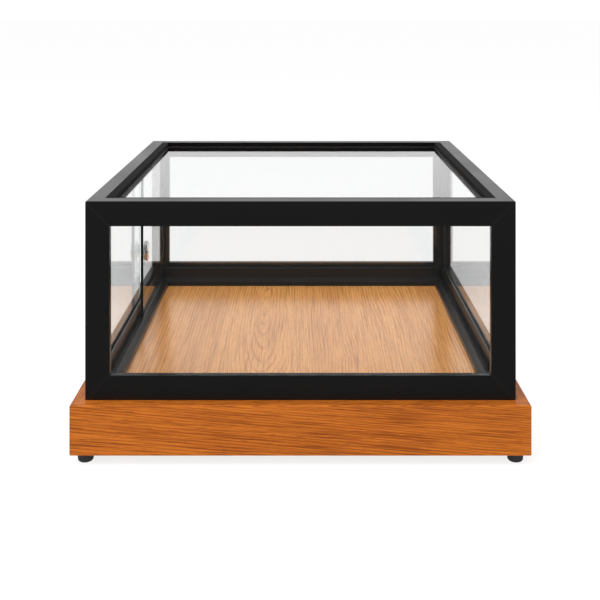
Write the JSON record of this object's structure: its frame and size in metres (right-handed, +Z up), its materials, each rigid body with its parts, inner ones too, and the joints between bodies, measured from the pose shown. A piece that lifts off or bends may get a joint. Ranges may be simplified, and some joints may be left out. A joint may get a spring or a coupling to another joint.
{
  "type": "countertop display case",
  "caption": "Square glass display case in a black aluminium frame on a wooden plinth, with overlapping sliding glass doors in its left side.",
  "frame": {"origin": "middle of the square footprint, at the underside of the feet", "axes": "+Z up; the front glass faces -Y; +X is to the right seen from the front, and the doors are in the -X side"},
  "size_m": [0.55, 0.55, 0.312],
  "materials": {
    "frame_extrusion": "satin black powder coat",
    "cast_key": "as cast",
    "glass": "clear float glass, polished edges",
    "seal_rubber": "matt black",
    "plinth_wood": "stained, clear varnish",
    "deck_wood": "light oak, clear varnish",
    "raw_wood": "unfinished softwood",
    "adhesive_foam": "adhesive pad",
    "foot_rubber": "black, slightly glossy",
    "nylon": "black nylon",
    "clear_washer": "translucent",
    "pull_chrome": "polished",
    "screw_steel": "zinc plated"
  },
  "bodies": {
    "case": {"bottom_rail_back": "frame_extrusion", "bottom_rail_front": "frame_extrusion", "bottom_rail_left": "frame_extrusion", "bottom_rail_right": "frame_extrusion", "corner_key_bottom_back_left": "cast_key", "corner_key_bottom_back_right": "cast_key", "corner_key_bottom_front_left": "cast_key", "corner_key_bottom_front_right": "cast_key", "corner_key_top_back_left": "cast_key", "corner_key_top_back_right": "cast_key", "corner_key_top_front_left": "cast_key", "corner_key_top_front_right": "cast_key", "deck_board": "deck_wood", "door_bumpers": "seal_rubber", "foot_back_left": "foot_rubber", "foot_back_right": "foot_rubber", "foot_front_left": "foot_rubber", "foot_front_right": "foot_rubber", "foot_pads": "adhesive_foam", "frame_screws": "screw_steel", "front_door_glide": "nylon", "glue_block_back_left": "raw_wood", "glue_block_back_right": "raw_wood", "glue_block_front_left": "raw_wood", "glue_block_front_right": "raw_wood", "pane_back": "glass", "pane_front": "glass", "pane_right": "glass", "pane_top": "glass", "plinth_back": "plinth_wood", "plinth_front": "plinth_wood", "plinth_left": "plinth_wood", "plinth_right": "plinth_wood", "post_back_left": "frame_extrusion", "post_back_right": "frame_extrusion", "post_front_left": "frame_extrusion", "post_front_right": "frame_extrusion", "rear_door_glide": "nylon", "seal_back": "seal_rubber", "seal_front": "seal_rubber", "seal_right": "seal_rubber", "seal_top": "seal_rubber", "top_rail_back": "frame_extrusion", "top_rail_front": "frame_extrusion", "top_rail_left": "frame_extrusion", "top_rail_right": "frame_extrusion"},
    "front_door": {"front_door_pane": "glass", "front_door_shoes": "nylon", "front_pull_cup": "pull_chrome"},
    "rear_door": {"rear_door_pane": "glass", "rear_door_shoes": "nylon", "rear_pull_cup": "pull_chrome", "rear_pull_ring": "pull_chrome", "rear_pull_washer": "clear_washer"}
  },
  "joints": [
    {"name": "front_door_slide", "type": "slide", "parent": "case", "child": "front_door", "axis": [0, 1, 0], "range_m": [0, 0.1857]},
    {"name": "rear_door_slide", "type": "slide", "parent": "case", "child": "rear_door", "axis": [0, -1, 0], "range_m": [0, 0.2657]}
  ]
}
